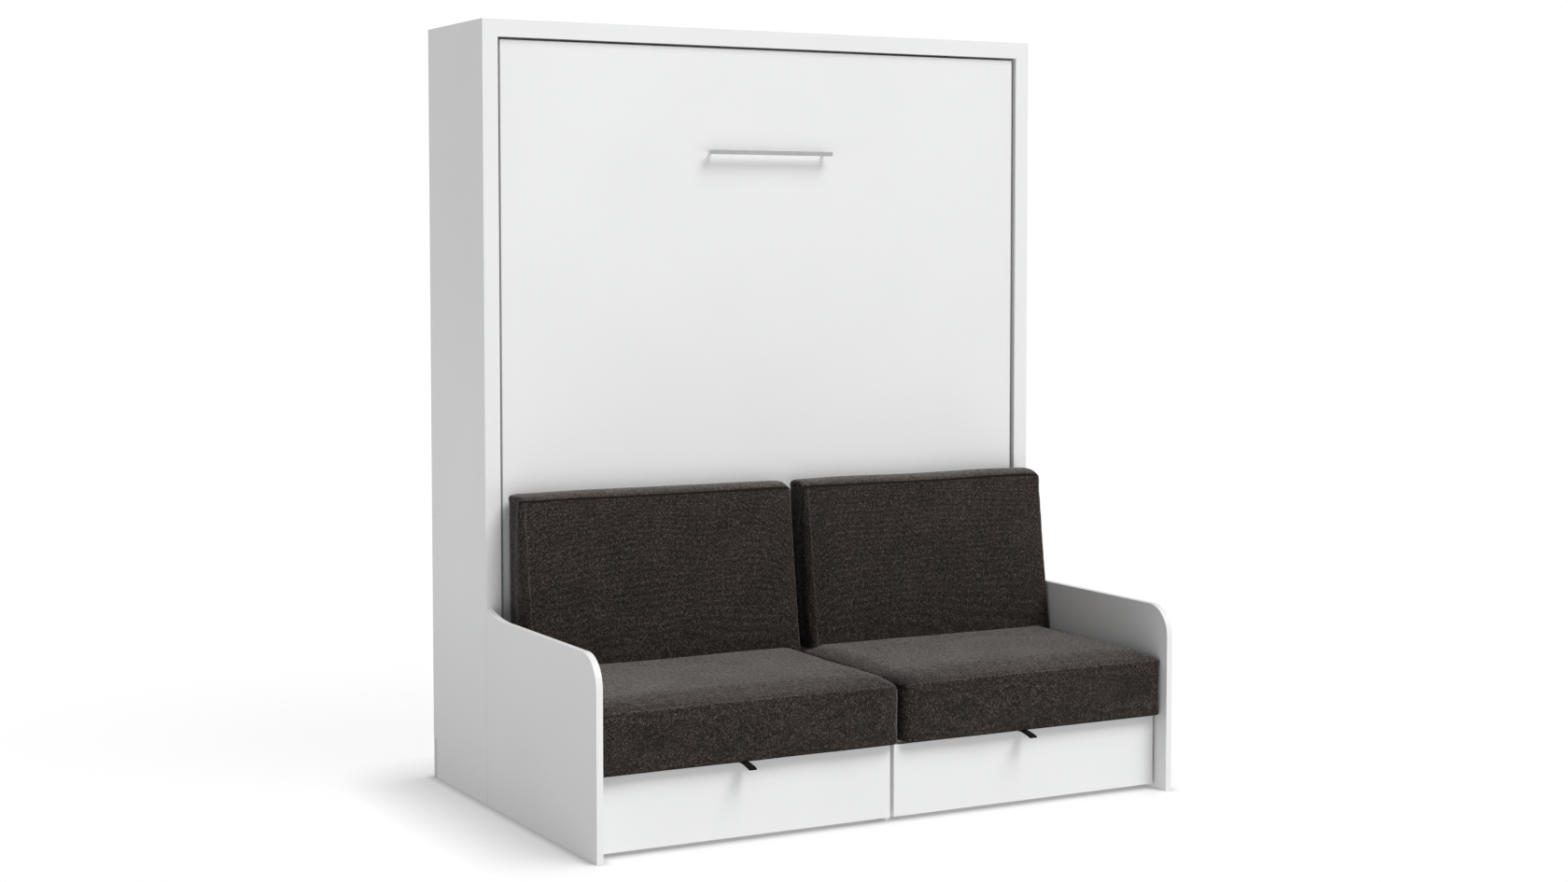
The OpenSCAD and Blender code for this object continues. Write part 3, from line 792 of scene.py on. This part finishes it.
def strap(index, z0):
    """A band round the mattress, from one side rail to the other, with its lower edge at z0."""
    low, high = (Vector(c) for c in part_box("mattress_straps"))
    z = z0 + STRAP_WIDTH / 2
    bend = 0.022
    turns, spans = 8, 40
    foot, step = low.y + 0.002, 0.02
    path = [Vector((low.x + TAPE, foot + i * step, z)) for i in range(8)]
    for i in range(turns + 1):
        a = math.pi / 2 * i / turns
        path.append(Vector((low.x + TAPE + bend * (1 - math.cos(a)),
                            high.y - TAPE - bend * (1 - math.sin(a)), z)))
    start = low.x + TAPE + bend
    other_half = [Vector((low.x + high.x - p.x, p.y, p.z)) for p in path[::-1]]
    path += [Vector((start + (low.x + high.x - 2 * start) * i / spans, high.y - TAPE, z))
             for i in range(1, spans)]
    path += other_half
    ribbon(f"mattress_strap_{index}", path, STRAP_WIDTH - 0.002, "bed", "mattress_straps",
           across=(0, 0, 1))


for side, seed in (("left", 3.1), ("right", 11.7)):
    back_cushion(side, seed)
    seat_cushion(side, seed + 20)
    pull_tab(side)
mattress()
strap_low, strap_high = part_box("mattress_straps")
strap(1, strap_low.z)
strap(2, strap_high.z - STRAP_WIDTH)


# ---------------------------------------------------------------- studio

def make_floor():
    """A white studio floor. It lights the object from below, and shows the camera a painted soft
    shadow.
    """
    size = 30
    mesh = bpy.data.meshes.new("floor")
    mesh.from_pydata([(-size, -size, 0), (size, -size, 0), (size, size, 0), (-size, size, 0)], [],
                     [(0, 1, 2, 3)])
    floor = bpy.data.objects.new("floor", mesh)
    bpy.context.collection.objects.link(floor)
    t = Tree("floor", Roughness=0.4, Specular_IOR_Level=0.25, Emission_Color=(1, 1, 1))
    t.colour(t.ramp(t.noise(1.5, detail=3), [(0.3, grey(0.40)), (0.7, grey(0.42))]))
    x, y, _ = t.axes()
    away = t.math("SQRT", t.total(t.product(x, x), t.product(y, y)))
    t.set(t.shader, {"Emission Strength": t.span(away, 0.50, 0.80, 1.2, 4.5)})

    # Painted shadows, by dimming the glow the camera sees: the wide one falls away from the key
    # lamp; the narrow one is where something touches.
    painted_wide_shadow = t.span(t.openness(0.30, (0.55, -0.62, 0.56)), 0.46, 0.86, 0.40)
    painted_contact_shadow = t.span(t.openness(0.035, (0, 0, 1)), 0.5, 1.0, 0.5)
    # The floor as the camera sees it: its glow, dimmed by the painted shadows.
    shown = t.nodes.new("ShaderNodeBsdfPrincipled")
    t.set(shown, {"Base_Color": grey(0.12), "Roughness": 0.4, "Specular_IOR_Level": 0.25,
                  "Emission_Color": (1, 1, 1), "Emission_Strength": t.product(painted_wide_shadow, painted_contact_shadow)})
    mix = t.nodes.new("ShaderNodeMixShader")
    t.set(mix, {0: t.nodes.new("ShaderNodeLightPath").outputs["Is Camera Ray"],
                1: t.shader.outputs[0], 2: shown.outputs[0]})
    t.links.new(mix.outputs[0], t.nodes["Material Output"].inputs["Surface"])
    mesh.materials.append(t.material)


def make_sun(name, azimuth, elevation, strength, spread):
    """A distant lamp: azimuth 0 shines along +Y, and a positive one comes from the right."""
    data = bpy.data.lights.new(name, "SUN")
    data.energy = strength
    data.angle = math.radians(spread)
    light = bpy.data.objects.new(name, data)
    a, e = math.radians(azimuth), math.radians(elevation)
    away = Vector((-math.sin(a) * math.cos(e), math.cos(a) * math.cos(e), -math.sin(e)))
    light.rotation_euler = away.to_track_quat("-Z", "Y").to_euler()
    bpy.context.collection.objects.link(light)


def make_world():
    """White all round: bright behind the object, softer as a light on it."""
    world = bpy.data.worlds.new("studio")
    world.use_nodes = True
    nodes, links = world.node_tree.nodes, world.node_tree.links
    backdrop = nodes["Background"]
    backdrop.inputs["Strength"].default_value = 1.05
    backdrop.inputs["Color"].default_value = (1, 1, 1, 1)
    glow = nodes.new("ShaderNodeBackground")
    glow.inputs["Strength"].default_value = 0.325
    glow.inputs["Color"].default_value = (1, 1, 1, 1)
    mix = nodes.new("ShaderNodeMixShader")
    links.new(nodes.new("ShaderNodeLightPath").outputs["Is Camera Ray"], mix.inputs[0])
    links.new(glow.outputs[0], mix.inputs[1])
    links.new(backdrop.outputs[0], mix.inputs[2])
    links.new(mix.outputs[0], nodes["World Output"].inputs["Surface"])
    bpy.context.scene.world = world


make_floor()
make_world()
make_sun("key", azimuth=28, elevation=53, strength=2.4, spread=32)
bpy.context.scene.view_settings.view_transform = "Standard"
